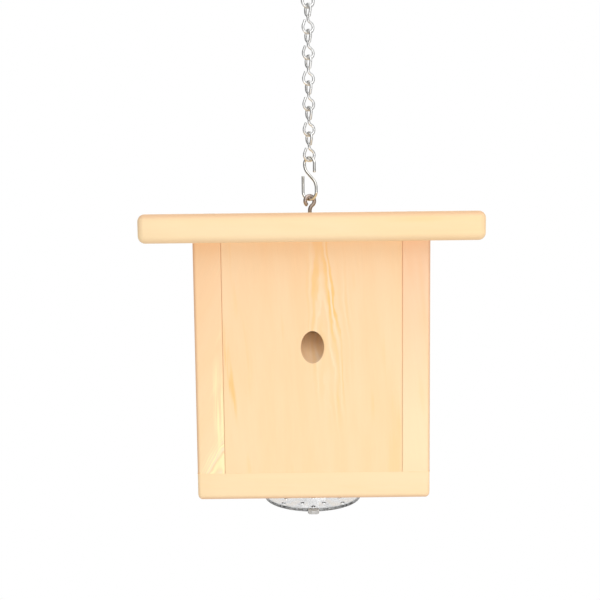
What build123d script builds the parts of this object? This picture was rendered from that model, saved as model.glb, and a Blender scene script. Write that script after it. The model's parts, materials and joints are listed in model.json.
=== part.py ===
"""Carpenter bee trap: a pine box hung on jack chain, with a clear catch dish under its floor.

Millimetres, +Z up, front towards -Y. The origin is where the hanger bears on its nail.
"""

import os
from math import acos, cos, radians, sin, sqrt

from build123d import *

# Pine box
BOARD = 19.0
ROOF_WIDTH = 226.0
ROOF_DEPTH = 184.0
ROOF_ROUND = 4.8
BOX_WIDTH = 160.0
BOX_DEPTH = 140.0
BOX_HEIGHT = 178.0
BOX_ROUND = 2.5
BASE_ROUND = 4.0

# Entrance bores, drilled inwards and upwards
ENTRANCE_DIAMETER = 15.2
ENTRANCE_DROP = 72.0

# Jack chain: figure-eight links of round wire
LINKS = 6
LINK_WIRE = 2.0
LINK_PITCH = 18.5
LINK_RING = 4.1
LINK_SWEEP = 268.5
LINK_TIP = 4.0
LINK_TURN = 25.0
WIRE_SIDES = 6
SEAT_GAP = 0.2

# S-hooks, one on each end of the chain
HOOK_WIRE = 2.2
HOOK_REACH = 31.0
HOOK_SMALL_BEND = 4.4
HOOK_LARGE_BEND = 5.9
HOOK_SMALL_TIP = 11.0
HOOK_LARGE_TIP = 17.6
HOOK_KNEE_HIGH = 8.6
HOOK_KNEE_LOW = 18.8
HOOK_KNEE_RADIUS = 3.0
HOOK_TURN = -35.0

# Screw eye
EYE_WIRE = 2.9
EYE_RING = 3.75
EYE_NECK = 5.0
EYE_SWEEP = 292.0
EYE_HEIGHT = 13.8
EYE_SHANK = 14.0
EYE_TURN = 25.0

# Collar under the base, and the clear dish that pushes up into it
COLLAR_BORE = 34.0
COLLAR_WALL = 1.5
COLLAR_HEIGHT = 12.0
COLLAR_FLANGE = 47.0
COLLAR_FLANGE_THICK = 2.5
COLLAR_SCREW_CIRCLE = 42.6
DISH_RADIUS = 37.7
DISH_DEPTH = 20.5
DISH_DRAFT = 0.7
DISH_WALL = 2.0
DISH_EDGE = 1.5
DISH_NECK_RISE = 9.0
DISH_CLEARANCE = 0.3
DRAIN_DIAMETER = 3.0
DRAIN_SIDES = 6
DRAIN_RINGS = ((12.5, 8, 0.0), (23.2, 9, 10.0), (30.5, 8, 0.0))
LUG_WIDTH = 8.2
LUG_REACH = 5.2
LUG_THICK = 3.0
LUG_ROUND = 2.2

# Fasteners, driven straight into the wood
FASTENER_SIDES = 6
NAIL_SHANK = 1.8
NAIL_HEAD = 4.0
NAIL_LENGTH = 38.0
SCREW_SHANK = 3.6
SCREW_HEAD = 7.4
SCREW_LENGTH = 42.0
COLLAR_SCREW_SHANK = 2.6
COLLAR_SCREW_HEAD = 5.2
COLLAR_SCREW_LENGTH = 13.0
HEAD_PROUD = 0.2
HEAD_THICK = 1.4
NAIL_SPREAD = 100.0
FASTENER_ROW = 90.0

# Heights, worked down from the hanger's bearing point
hanger_low = HOOK_WIRE / 2 - HOOK_REACH
link_reach = LINK_PITCH + LINK_WIRE + SEAT_GAP
first_link_top = hanger_low + (HOOK_WIRE + LINK_WIRE) / 2 + SEAT_GAP
last_link_low = first_link_top - (LINKS - 1) * LINK_PITCH - link_reach
hook_top = last_link_low + (LINK_WIRE + HOOK_WIRE) / 2 + SEAT_GAP
hook_low = hook_top - HOOK_REACH
eye_top = hook_low + (HOOK_WIRE + EYE_WIRE) / 2 + SEAT_GAP
roof_top = eye_top + EYE_WIRE / 2 - EYE_HEIGHT
roof_low = roof_top - BOARD
base_low = roof_low - BOX_HEIGHT
base_top = base_low + BOARD
entrance_z = roof_low - ENTRANCE_DROP

wall_height = roof_low - base_top
panel_width = BOX_WIDTH - 2 * BOARD
side_x = (BOX_WIDTH - BOARD) / 2
panel_y = (BOX_DEPTH - BOARD) / 2


def loop_arcs(turn, waist, rise, ring, neck, sweep, tip=0.0):
    """A wire loop: an arc out from the wire's waist, an arc round its ring, and the free end's line.

    The loop lies in the upright plane at the angle turn, above the waist for rise 1, below for -1.
    The neck arc starts along Z and ends tangent to the ring, and the line of length tip leaves it so.
    """
    centre = sqrt(ring**2 + 2 * ring * neck)
    meet = acos(neck / (ring + neck))
    swept = radians(sweep)

    def place(out, up):
        return (out * cos(radians(turn)), out * sin(radians(turn)), waist + rise * up)

    neck_arc = [place(neck - neck * cos(a), neck * sin(a)) for a in (0, meet / 2, meet)]
    ring_arc = [
        place(ring * cos(meet - a), centre - ring * sin(meet - a)) for a in (0, swept / 2, swept)
    ]
    end = swept - meet
    free_end = [
        place(ring * cos(end) - run * sin(end), centre + ring * sin(end) + run * cos(end)) for run in (0, tip)
    ]
    return neck_arc, ring_arc, free_end


def chain_link(top):
    """A figure-eight link whose upper ring's wire is centred at the height top."""
    waist = top - link_reach / 2
    ring_drop = link_reach / 2 - LINK_RING
    neck = (ring_drop**2 - LINK_RING**2) / (2 * LINK_RING)
    with BuildPart() as link:
        with BuildSketch(Plane.XY.offset(waist)) as section:
            RegularPolygon(LINK_WIRE / 2, WIRE_SIDES, rotation=LINK_TURN)
        for turn, rise in ((LINK_TURN, -1), (LINK_TURN + 90, 1)):
            with BuildLine() as wire:
                neck_arc, ring_arc, free_end = loop_arcs(
                    turn, waist, rise, LINK_RING, neck, LINK_SWEEP, LINK_TIP
                )
                ThreePointArc(*neck_arc)
                ThreePointArc(*ring_arc)
                Line(*free_end)
            sweep(sections=section.sketch, path=wire.wires()[0])
    return link.part


def s_hook(bend_plane):
    """An S-hook of bent wire, its small bend at the plane's origin and its large bend below.

    The plane's Y axis points from the large bend to the small one.
    """
    small, large = HOOK_SMALL_BEND, HOOK_LARGE_BEND
    large_level = large - HOOK_REACH
    with BuildPart() as hook:
        with BuildLine(bend_plane) as wire:
            Line((small, -HOOK_SMALL_TIP), (small, -small))
            ThreePointArc((small, -small), (0, 0), (-small, -small))
            FilletPolyline(
                (-small, -small),
                (-small, -HOOK_KNEE_HIGH),
                (large, -HOOK_KNEE_LOW),
                (large, large_level),
                radius=HOOK_KNEE_RADIUS,
            )
            ThreePointArc((large, large_level), (0, -HOOK_REACH), (-large, large_level))
            Line((-large, large_level), (-large, HOOK_LARGE_TIP - HOOK_REACH))
        path = wire.wires()[0]
        with BuildSketch(Plane(path @ 0, x_dir=bend_plane.x_dir, z_dir=path % 0)):
            RegularPolygon(HOOK_WIRE / 2, WIRE_SIDES)
        sweep(path=path)
    return hook.part


def fasteners(places, shank, head, length):
    """Nails or screws, one at each plane, whose origin is on the wood and Z axis points out."""
    with BuildPart() as group:
        for place in places:
            with BuildSketch(place.offset(HEAD_PROUD)):
                RegularPolygon(head / 2, FASTENER_SIDES)
            extrude(amount=-HEAD_THICK)
            with BuildSketch(place.offset(HEAD_PROUD)):
                RegularPolygon(shank / 2, FASTENER_SIDES)
            extrude(amount=-length)
    return group.part


def entrance_plane(outward_x, outward_y):
    """The plane square to an entrance bore, on the outer face that looks along outward."""
    on_face = (outward_x * BOX_WIDTH / 2, outward_y * BOX_DEPTH / 2, entrance_z)
    return Plane(on_face, z_dir=(-outward_x, -outward_y, 1))


def drill_entrance(outward_x, outward_y):
    """Cut an entrance bore through the board being built."""
    with BuildSketch(entrance_plane(outward_x, outward_y)) as mouth:
        Circle(ENTRANCE_DIAMETER / 2)
    extrude(mouth.sketch, amount=2 * BOARD, both=True, mode=Mode.SUBTRACT)


def write(part, name):
    """Label a finished piece and write its STEP file."""
    part.label = name
    export_step(part, f"parts/{name}.step")


os.makedirs("parts", exist_ok=True)

# Roof: a plank with every edge rounded over, and a pilot hole for the screw eye
with BuildPart() as roof_board:
    with Locations((0, 0, roof_top - BOARD / 2)):
        Box(ROOF_WIDTH, ROOF_DEPTH, BOARD)
    fillet(roof_board.edges(), ROOF_ROUND)
    with Locations((0, 0, roof_top)):
        Hole(EYE_WIRE / 2, depth=EYE_SHANK)
write(roof_board.part, "roof_board")

# Front panel, between the sides
with BuildPart() as front_panel:
    with Locations((0, -panel_y, base_top)):
        Box(panel_width, BOARD, wall_height, align=(Align.CENTER, Align.CENTER, Align.MIN))
    drill_entrance(0, -1)
write(front_panel.part, "front_panel")

# Back panel, without an entrance
with BuildPart() as back_panel:
    with Locations((0, panel_y, base_top)):
        Box(panel_width, BOARD, wall_height, align=(Align.CENTER, Align.CENTER, Align.MIN))
write(back_panel.part, "back_panel")

# Side boards, with their outer upright edges eased
for name, outward in (("left_side", -1), ("right_side", 1)):
    with BuildPart() as side:
        with Locations((outward * side_x, 0, base_top)):
            Box(BOARD, BOX_DEPTH, wall_height, align=(Align.CENTER, Align.CENTER, Align.MIN))
        outer_edges = side.edges().filter_by(Axis.Z).group_by(Axis.X)[-1 if outward > 0 else 0]
        fillet(outer_edges, BOX_ROUND)
        drill_entrance(outward, 0)
    write(side.part, name)

# Base board, with a bore for the collar
with BuildPart() as base_board:
    with Locations((0, 0, base_low)):
        Box(BOX_WIDTH, BOX_DEPTH, BOARD, align=(Align.CENTER, Align.CENTER, Align.MIN))
    fillet(base_board.edges().filter_by(Axis.Z), BOX_ROUND)
    fillet(base_board.faces().sort_by(Axis.Z)[0].edges(), BASE_ROUND)
    with Locations((0, 0, base_top)):
        Hole(COLLAR_BORE + COLLAR_WALL)
write(base_board.part, "base_board")

# Collar: a spigot in the base's bore and a flange screwed to its underside
with BuildPart() as collar:
    with BuildSketch(Plane.XY.offset(base_low)):
        Circle(COLLAR_BORE + COLLAR_WALL)
    extrude(amount=COLLAR_HEIGHT)
    with BuildSketch(Plane.XY.offset(base_low)):
        Circle(COLLAR_FLANGE)
    extrude(amount=-COLLAR_FLANGE_THICK)
    with Locations((0, 0, base_low + COLLAR_HEIGHT)):
        Hole(COLLAR_BORE)
write(collar.part, "collar")

# Catch dish: a shouldered cup with drain holes in its floor and a thumb lug in front
shoulder = COLLAR_FLANGE_THICK + DISH_CLEARANCE
neck_radius = COLLAR_BORE - DISH_CLEARANCE
foot_radius = DISH_RADIUS - DISH_DRAFT
with BuildPart() as catch_dish:
    with BuildSketch(Plane.XZ):
        with BuildLine():
            Polyline(
                (0, base_low - DISH_DEPTH),
                (foot_radius - DISH_EDGE, base_low - DISH_DEPTH),
                (foot_radius, base_low - DISH_DEPTH + DISH_EDGE),
                (DISH_RADIUS, base_low - shoulder),
                (neck_radius, base_low - shoulder),
                (neck_radius, base_low + DISH_NECK_RISE),
                (neck_radius - DISH_WALL, base_low + DISH_NECK_RISE),
                (neck_radius - DISH_WALL, base_low - shoulder - DISH_WALL),
                (DISH_RADIUS - DISH_WALL, base_low - shoulder - DISH_WALL),
                (foot_radius - DISH_WALL, base_low - DISH_DEPTH + DISH_WALL),
                (0, base_low - DISH_DEPTH + DISH_WALL),
                close=True,
            )
        make_face()
    revolve(axis=Axis.Z)
    for ring_radius, count, start in DRAIN_RINGS:
        with BuildSketch(Plane.XY.offset(base_low - DISH_DEPTH)):
            with PolarLocations(ring_radius, count, start_angle=start):
                RegularPolygon(DRAIN_DIAMETER / 2, DRAIN_SIDES)
        extrude(amount=DISH_WALL, mode=Mode.SUBTRACT)
    with BuildSketch(Plane.XY.offset(base_low - DISH_DEPTH)) as lug:
        with Locations((0, -foot_radius + DISH_WALL / 2)):
            Rectangle(LUG_WIDTH, LUG_REACH + DISH_WALL / 2, align=(Align.CENTER, Align.MAX))
        fillet(lug.vertices().group_by(Axis.Y)[0], LUG_ROUND)
    extrude(amount=LUG_THICK)
write(catch_dish.part, "catch_dish")

# Screw eye: a shank in the roof, bent out at the neck and round into a ring
with BuildPart() as screw_eye:
    ring_rise = sqrt(EYE_RING**2 + 2 * EYE_RING * EYE_NECK)
    eye_waist = eye_top - EYE_RING - ring_rise
    with BuildLine() as eye_wire:
        neck_arc, ring_arc, _ = loop_arcs(EYE_TURN, eye_waist, 1, EYE_RING, EYE_NECK, EYE_SWEEP)
        Line((0, 0, roof_top - EYE_SHANK), (0, 0, eye_waist))
        ThreePointArc(*neck_arc)
        ThreePointArc(*ring_arc)
    with BuildSketch(Plane.XY.offset(roof_top - EYE_SHANK)):
        RegularPolygon(EYE_WIRE / 2, WIRE_SIDES, rotation=EYE_TURN)
    sweep(path=eye_wire.wires()[0])
write(screw_eye.part, "screw_eye")

# Chain, from the hanger down: one link, repeated at the chain's pitch
link = chain_link(first_link_top)
for number in range(LINKS):
    write(link.moved(Location((0, 0, -number * LINK_PITCH))), f"chain_link_{number + 1}")

# S-hooks: the lower one takes the screw eye in its large bend, the hanger is the same hook upside down
across = Vector(cos(radians(HOOK_TURN)), sin(radians(HOOK_TURN)), 0)
hook_plane = Plane((0, 0, hook_top), x_dir=across, z_dir=across.cross(Vector(0, 0, 1)))
write(s_hook(hook_plane), "lower_hook")
across = Vector(-cos(radians(LINK_TURN)), -sin(radians(LINK_TURN)), 0)
hanger_plane = Plane((0, 0, hanger_low), x_dir=across, z_dir=across.cross(Vector(0, 0, -1)))
write(s_hook(hanger_plane), "hanger")

# Fasteners: roof screws, wall nails from each side, base nails and collar screws
roof_places = [
    Plane((x, y, roof_top), z_dir=(0, 0, 1))
    for x in (-side_x, side_x)
    for y in (-FASTENER_ROW / 2, FASTENER_ROW / 2)
]
write(fasteners(roof_places, SCREW_SHANK, SCREW_HEAD, SCREW_LENGTH), "roof_screws")

wall_middle = base_top + wall_height / 2
for name, outward in (("left_nails", -1), ("right_nails", 1)):
    wall_places = [
        Plane((outward * BOX_WIDTH / 2, y, wall_middle + rise), z_dir=(outward, 0, 0))
        for y in (-panel_y, panel_y)
        for rise in (-NAIL_SPREAD / 2, NAIL_SPREAD / 2)
    ]
    write(fasteners(wall_places, NAIL_SHANK, NAIL_HEAD, NAIL_LENGTH), name)

base_places = [
    Plane((x, y, base_low), z_dir=(0, 0, -1))
    for x in (-side_x, side_x)
    for y in (-FASTENER_ROW / 2, FASTENER_ROW / 2)
]
write(fasteners(base_places, NAIL_SHANK, NAIL_HEAD, NAIL_LENGTH), "base_nails")

collar_places = [
    Plane((x, y, base_low - COLLAR_FLANGE_THICK), z_dir=(0, 0, -1))
    for x, y in (
        (COLLAR_SCREW_CIRCLE * cos(radians(a)), COLLAR_SCREW_CIRCLE * sin(radians(a)))
        for a in (45, 135, 225, 315)
    )
]
write(
    fasteners(collar_places, COLLAR_SCREW_SHANK, COLLAR_SCREW_HEAD, COLLAR_SCREW_LENGTH),
    "collar_screws",
)
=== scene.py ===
# %% [markdown]
# # A carpenter bee trap
# The trap is a small pine box that hangs on jack chain. Bees crawl up a slanting bore into the dark
# box, head for the light below, and end in a clear dish under the base. The solids come from the
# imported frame: every piece made here stands where its solid stands, and only the looks are added.

# %% Load the frame and keep its box
import json
from math import acos, radians, sqrt

import bpy
import numpy as np
from mathutils import Matrix, Vector

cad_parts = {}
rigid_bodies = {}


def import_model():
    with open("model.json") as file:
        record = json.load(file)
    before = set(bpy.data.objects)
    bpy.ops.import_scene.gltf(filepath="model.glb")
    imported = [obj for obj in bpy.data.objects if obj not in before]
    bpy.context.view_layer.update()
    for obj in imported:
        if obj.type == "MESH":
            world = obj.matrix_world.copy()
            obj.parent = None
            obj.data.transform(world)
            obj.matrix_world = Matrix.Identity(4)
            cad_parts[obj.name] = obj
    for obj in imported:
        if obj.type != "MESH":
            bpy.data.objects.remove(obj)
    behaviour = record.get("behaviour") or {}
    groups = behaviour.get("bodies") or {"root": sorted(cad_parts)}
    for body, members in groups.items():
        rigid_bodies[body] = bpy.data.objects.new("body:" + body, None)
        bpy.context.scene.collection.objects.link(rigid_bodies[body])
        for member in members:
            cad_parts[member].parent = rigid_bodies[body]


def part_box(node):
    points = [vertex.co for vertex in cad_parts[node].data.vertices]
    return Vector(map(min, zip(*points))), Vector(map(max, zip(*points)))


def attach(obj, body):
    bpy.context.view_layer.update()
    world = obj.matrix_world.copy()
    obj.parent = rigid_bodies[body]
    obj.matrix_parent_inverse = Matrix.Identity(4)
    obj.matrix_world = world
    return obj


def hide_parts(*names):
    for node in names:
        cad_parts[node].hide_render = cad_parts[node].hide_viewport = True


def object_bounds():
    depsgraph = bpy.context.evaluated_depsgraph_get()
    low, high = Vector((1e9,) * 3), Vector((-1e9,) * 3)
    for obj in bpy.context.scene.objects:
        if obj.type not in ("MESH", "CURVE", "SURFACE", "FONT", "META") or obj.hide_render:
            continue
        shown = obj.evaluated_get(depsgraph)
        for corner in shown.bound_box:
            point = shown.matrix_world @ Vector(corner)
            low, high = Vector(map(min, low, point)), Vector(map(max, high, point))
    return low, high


MM = 0.001
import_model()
cad_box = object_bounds()


# %% [markdown]
# ## The camera
# A camera could be nudged until the picture fits. Here its lens, place and dip were worked out from
# the roof's edges and the box's corners, which are straight lines of known length, so it is written
# as numbers. It stands level with the roof's top, a little left of the middle, and leans by two thirds
# of a degree.

# %% Camera
roof_low, roof_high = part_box("roof_board")
CAMERA_LENS = 52.27
CAMERA_NEAR = 10 * MM
CAMERA_ASIDE = -8.1 * MM
CAMERA_BACK = 654.2 * MM
CAMERA_ABOVE_ROOF = -0.3 * MM
CAMERA_DIP = radians(5.7)
CAMERA_LEAN = radians(-0.65)
FRAME_PIXELS = 600

camera = bpy.data.objects.new("camera", bpy.data.cameras.new("camera"))
camera.data.lens = CAMERA_LENS
camera.data.clip_start = CAMERA_NEAR
camera.matrix_world = (
    Matrix.Translation((CAMERA_ASIDE, -CAMERA_BACK, roof_high.z + CAMERA_ABOVE_ROOF))
    @ Matrix.Rotation(radians(90) - CAMERA_DIP, 4, "X")
    @ Matrix.Rotation(CAMERA_LEAN, 4, "Z")
)
bpy.context.scene.collection.objects.link(camera)
bpy.context.scene.camera = camera


def pixel(point):
    """Where a point of the frame falls in the picture: x and y over depth, times the lens in pixels."""
    seen = camera.matrix_world.inverted() @ Vector(point)
    scale = CAMERA_LENS / camera.data.sensor_width * FRAME_PIXELS / -seen.z
    return round(FRAME_PIXELS / 2 + seen.x * scale, 1), round(FRAME_PIXELS / 2 - seen.y * scale, 1)


box_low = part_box("base_board")[0]
print("roof's front edge from", pixel((roof_low.x, roof_low.y, roof_high.z)),
      "to", pixel((roof_high.x, roof_low.y, roof_low.z)))
print("base's front corner at", pixel(box_low))


# %% [markdown]
# ## Meshes from grids of points
# Every piece below starts as a grid: ring after ring of points, worked out as one array. Primitives
# pushed into shape would do for some, but a formula says exactly where each point lies. Rings close
# on themselves. A grid either ends in two flat caps or wraps round from its last ring to its first,
# as the skin of a board with a bore does.

# %% Faces and volume of a grid
def grid_quads(rows, columns, wrap):
    """Corner numbers of a grid's four-sided faces; columns always close, rows close where wrap is true."""
    row = np.arange(rows if wrap else rows - 1)[:, None]
    column = np.arange(columns)[None, :]
    below = (row + 1) % rows
    beside = (column + 1) % columns
    corners = (row * columns + column, row * columns + beside,
               below * columns + beside, below * columns + column)
    return np.stack(np.broadcast_arrays(*corners), axis=-1).reshape(-1, 4)


def volume(rings, wrap):
    """Signed volume inside a grid: the sum, over its triangles, of the corners' triple product over six."""
    if not wrap:
        ends = [np.broadcast_to(ring.mean(axis=0), ring.shape)[None] for ring in (rings[0], rings[-1])]
        rings = np.concatenate([ends[0], rings, ends[1]])
    quads = grid_quads(*rings.shape[:2], wrap)
    a, b, c, d = (rings.reshape(-1, 3)[quads[:, k]] for k in range(4))
    return float((a * (np.cross(b, c) + np.cross(c, d))).sum() / 6)


print("a torus of 4 by 3 points has", len(grid_quads(4, 3, True)), "faces")


# %% [markdown]
# A grid then becomes a mesh object. Recalculating normals in edit mode could turn its faces outward,
# but the sign of its volume already tells which way they face, so inward ones are flipped. Faces are
# smooth up to a crease angle: a rounded edge shades softly, and a sharp one stays sharp. At last a
# piece says which solid it stands for, and on which body it rides.

# %% From grids to pieces
def shade_smooth(mesh, crease):
    """Smooth shading, broken where two faces meet at more than the crease angle, in degrees."""
    mesh.polygons.foreach_set("use_smooth", np.ones(len(mesh.polygons), dtype=bool))
    mesh.set_sharp_from_angle(angle=radians(crease))
    mesh.update()


def add_mesh(name, skins, wrap=False, masks=None, crease=40):
    """Mesh object of one or more grids of rings, with outward faces, smooth up to the crease angle.

    masks gives named values for the points of a single grid, which the finish can read.
    """
    points, faces, first = [], [], 0
    for rings in skins:
        rows, columns = rings.shape[:2]
        flip = -1 if volume(rings, wrap) < 0 else 1
        quads = grid_quads(rows, columns, wrap)[:, ::flip]
        faces += (quads + first).tolist()
        if not wrap:
            cap = np.arange(columns)
            faces.append((first + cap[::-flip]).tolist())
            faces.append((first + (rows - 1) * columns + cap[::flip]).tolist())
        points.append(rings.reshape(-1, 3))
        first += rows * columns
    mesh = bpy.data.meshes.new(name)
    mesh.from_pydata(np.concatenate(points).tolist(), [], faces)
    for label, values in (masks or {}).items():
        stored = mesh.attributes.new(label, "FLOAT", "POINT")
        stored.data.foreach_set("value", values.astype(np.float32).reshape(-1))
    shade_smooth(mesh, crease)
    made = bpy.data.objects.new(name, mesh)
    bpy.context.scene.collection.objects.link(made)
    return made


def stand_for(piece, node, body):
    """Show a piece in place of its solid, which is hidden, riding on the given body."""
    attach(piece, body)
    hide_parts(node)
    return piece


print("objects before the first piece:", len(bpy.context.scene.collection.all_objects))


# %% [markdown]
# ## Pine boards
# Six planed boards make the box. A cube with a bevel would do for a plain one, but four of these have
# a hole, and a hole cut by a Boolean leaves long thin faces. So a board is a skin of rings, each a
# rectangle with rounded corners. A superellipse would be a single formula, but its sides bulge, and
# planed sides are straight, so four quarter ellipses are joined by straight runs.

# %% A rounded rectangle
def rounded_rectangle(half_u, half_v, round_u, round_v, arc_steps, edge_steps):
    """Points round a rectangle whose corners are quarter ellipses, joined by straight runs.

    Corner k sweeps the angle a from 90k to 90k + 90 degrees:
    u = sign (half_u - round_u) + round_u cos a, and v likewise with sin a.
    Also gives, at each point, how far its edge faces along u: cos a squared.
    """
    angle = np.radians(90 * (np.arange(4)[:, None] + np.linspace(0, 1, arc_steps)))
    sign_u = np.array([1, -1, -1, 1])[:, None]
    sign_v = np.array([1, 1, -1, -1])[:, None]
    arcs = np.stack([sign_u * (half_u - round_u) + round_u * np.cos(angle),
                     sign_v * (half_v - round_v) + round_v * np.sin(angle)], axis=-1)
    run_start = arcs[:, -1][:, None]
    run_end = np.roll(arcs[:, 0], -1, axis=0)[:, None]
    along = np.linspace(0, 1, edge_steps + 1)[1:-1][:, None]
    runs = run_start + (run_end - run_start) * along
    arc_faces = np.cos(angle) ** 2
    run_faces = np.repeat(arc_faces[:, -1:], edge_steps - 1, axis=1)
    points = np.concatenate([arcs, runs], axis=1).reshape(-1, 2)
    return points, np.concatenate([arc_faces, run_faces], axis=1).reshape(-1)


print("a square with 5 points a corner has", len(rounded_rectangle(1, 1, 0.1, 0.1, 5, 14)[0]), "points")


# %% [markdown]
# The rings of a board start at the hole, spread over the face, roll over its eased edge, go down the
# side and come back the same way, and a bored board's skin then runs up the bore and closes. A Bevel
# modifier would need weights to tell the edges apart, while here each edge is given its own rounding.
# Two masks are kept for the finish, both for painted shade: how far a rounded edge is darkened, and how near
# the bore's mouth is.

# %% The board's skin
EASE = 0.5 * MM
FINE = 0.1 * MM
SEAM = 0.05 * MM
LEAST_CORNER = 0.001 * MM
BEND_RINGS = 7
BORE_RINGS = 9
LIP_SHARE = 0.35
BORED_SPREAD = np.array([0.0, 0.03, 0.1, 0.25, 0.5, 0.75, 0.9, 0.96, 0.985])
PLAIN_SPREAD = BORED_SPREAD[4:]
# Painted shade: how dark a band lies over rounded edges, seam edges and corners, where they turn from the
# light.
EDGE_SHADE_PEAK, CORNER_SHADE_PEAK, BACK_SHADE_SHARE = 2.6, 1.6, 0.3
EDGE_SHADE_FROM = 0.8 * EASE


def board_skin(half, face_ease, back_ease, corner, bore=None, arc_steps=5, edge_steps=14):
    """Skin of a board in its own axes: u and v along its face, w out of it, with sizes as halves.

    Over a rounded edge of radius r, at the angle p, the outline is drawn in by r (1 - sin p) and lies
    r (1 - cos p) under the face. The bore is an ellipse that slides by a shift from face to back.
    Returns the rings and two masks, both painted shade. The darkening of the edges is sin p times cos p
    squared, scaled to reach 1 on a rounded edge, not below 0.4 at a corner's middle, weaker round the
    back, and 0 on edges that are hardly broken. The other mask rises from 0 at the bore's inner end to
    1 at its mouth.
    """
    half_u, half_v, half_w = half

    def outline(ease, angle, side):
        """One ring over a rounded edge, and its painted shade."""
        inset_u, inset_v = np.array(ease) * (1 - np.sin(angle))
        round_u, round_v = max(corner - inset_u, LEAST_CORNER), max(corner - inset_v, LEAST_CORNER)
        flat, faces_u = rounded_rectangle(half_u - inset_u, half_v - inset_v, round_u, round_v,
                                          arc_steps, edge_steps)
        ease_here = ease[0] * faces_u + ease[1] * (1 - faces_u)
        height = side * (half_w - ease_here * (1 - np.cos(angle)))
        # Painted shade over the rounded edge and the corner.
        on_edge = EDGE_SHADE_PEAK * np.sin(angle) * np.cos(angle) ** 2
        on_corner = CORNER_SHADE_PEAK * faces_u * (1 - faces_u)
        return np.column_stack([flat, height]), np.maximum(on_edge, on_corner) * (ease_here > EDGE_SHADE_FROM)

    bends = np.radians(np.linspace(0, 90, BEND_RINGS))
    face_rings, face_shade = zip(*[outline(face_ease, p, 1) for p in bends])
    back_rings, back_shade = zip(*[outline(back_ease, p, -1) for p in bends[::-1]])
    if bore is None:
        spread = PLAIN_SPREAD
        middle_face = face_rings[0] * (0, 0, 1)
        middle_back = back_rings[-1] * (0, 0, 1)
        wall = []
    else:
        spread = BORED_SPREAD
        centre, radii, shift = np.array(bore[:3])
        ease = bore[3]
        out = (face_rings[0][:, :2] - centre) / radii
        around = np.arctan2(out[:, 1], out[:, 0])
        circle = np.stack([np.cos(around), np.sin(around)], axis=-1)

        def bore_ring(depth, extra):
            """The bore's ellipse at a depth under the face, widened by the eased lip."""
            flat = centre + shift * depth / (2 * half_w) + circle * (radii + extra)
            return np.column_stack([flat, np.full(len(flat), half_w - depth)])

        lip, through = LIP_SHARE * ease, 2 * half_w
        middle_face = bore_ring(0, ease)
        middle_back = bore_ring(through, ease)
        steps = np.linspace(0, through, BORE_RINGS)[1:-1]
        depths = np.array([lip, ease, *steps, through - ease, through - lip])
        widened = np.zeros(len(depths))
        widened[[0, -1]] = lip
        wall = [bore_ring(depth, extra) for depth, extra in zip(depths[::-1], widened[::-1])]
    over_face = [middle_face + (face_rings[0] - middle_face) * s for s in spread]
    over_back = [middle_back + (back_rings[-1] - middle_back) * s for s in spread[::-1]]
    rings = np.stack([*over_face, *face_rings, *back_rings, *over_back, *wall])
    # Painted shade on the edges, weaker round the back.
    edge_shade_rows = [*face_shade, *(BACK_SHADE_SHARE * share for share in back_shade)]
    edge_shade = np.zeros(rings.shape[:2])
    edge_shade[len(over_face):len(over_face) + len(edge_shade_rows)] = edge_shade_rows
    # Painted shade in the bore, strongest at its mouth.
    bore_shade_mask = np.zeros(rings.shape[:2])
    bore_shade_mask[len(rings) - len(wall):] = np.linspace(0, 1, len(wall))[:, None]
    return rings, {"edge": edge_shade, "bore": bore_shade_mask}


print("a plain board's grid is", board_skin((1, 1, 0.1), (0.01, 0.01), (0.01, 0.01), 0.01)[0].shape)


# %% [markdown]
# On the real box the boards butt together, and fine dark seams show where they meet. Each board could
# be modelled in place by hand, but the frame knows where every solid stands, so size and place come
# from there, and only the bores and the easing of the edges are given. At the upright seams both edges
# are broken by half a millimetre, which leaves the seam's line. The side bores slope up into the box
# as the front one does.

# %% The six boards
ROOF_ROUND = 4.8 * MM
UPRIGHT_ROUND = 2.5 * MM
BASE_ROUND = 4.0 * MM
BORE_RADIUS = 7.6 * MM
BORE_DROP = 72 * MM
LIP = 0.5 * MM
DROP_RADIUS = 35.5 * MM
BOARD = roof_high.z - roof_low.z

X, Y, Z = np.eye(3)
BOARD_AXES = {
    "roof_board": (X, Y, Z),
    "front_panel": (X, Z, -Y),
    "back_panel": (-X, Z, Y),
    "left_side": (-Y, Z, -X),
    "right_side": (Y, Z, X),
    "base_board": (X, -Y, -Z),
}
BOARD_EASE = {
    "roof_board": ((ROOF_ROUND, ROOF_ROUND), (ROOF_ROUND, ROOF_ROUND), ROOF_ROUND),
    "left_side": ((UPRIGHT_ROUND, FINE), (EASE, FINE), FINE),
    "right_side": ((UPRIGHT_ROUND, FINE), (EASE, FINE), FINE),
    "base_board": ((BASE_ROUND, BASE_ROUND), (FINE, FINE), UPRIGHT_ROUND),
}
PLAIN_EASE = ((EASE, FINE), (EASE, FINE), FINE)
SLANT = sqrt(2)


def make_board(node):
    """A board in place: its skin in its own axes, turned and moved to its solid's box."""
    low, high = (np.array(corner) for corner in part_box(node))
    middle, size = (low + high) / 2, high - low
    axes = np.array(BOARD_AXES[node])
    half = np.abs(axes @ size) / 2
    if node.endswith(("panel", "side")):
        half[0] -= SEAM
    bore = None
    if node in ("front_panel", "left_side", "right_side"):
        height = roof_low.z - BORE_DROP - middle[2]
        bore = ((0, height), (BORE_RADIUS, BORE_RADIUS * SLANT), (0, BOARD), LIP)
    if node == "base_board":
        bore = ((0, 0), (DROP_RADIUS, DROP_RADIUS), (0, 0), LIP)
    rings, masks = board_skin(half, *BOARD_EASE.get(node, PLAIN_EASE), bore)
    board = add_mesh(f"{node}_wood", [rings @ axes + middle], bore is not None, masks)
    return stand_for(board, node, "trap")


boards = {node: make_board(node) for node in BOARD_AXES}
print("boards:", {name: len(board.data.polygons) for name, board in boards.items()})


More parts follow.
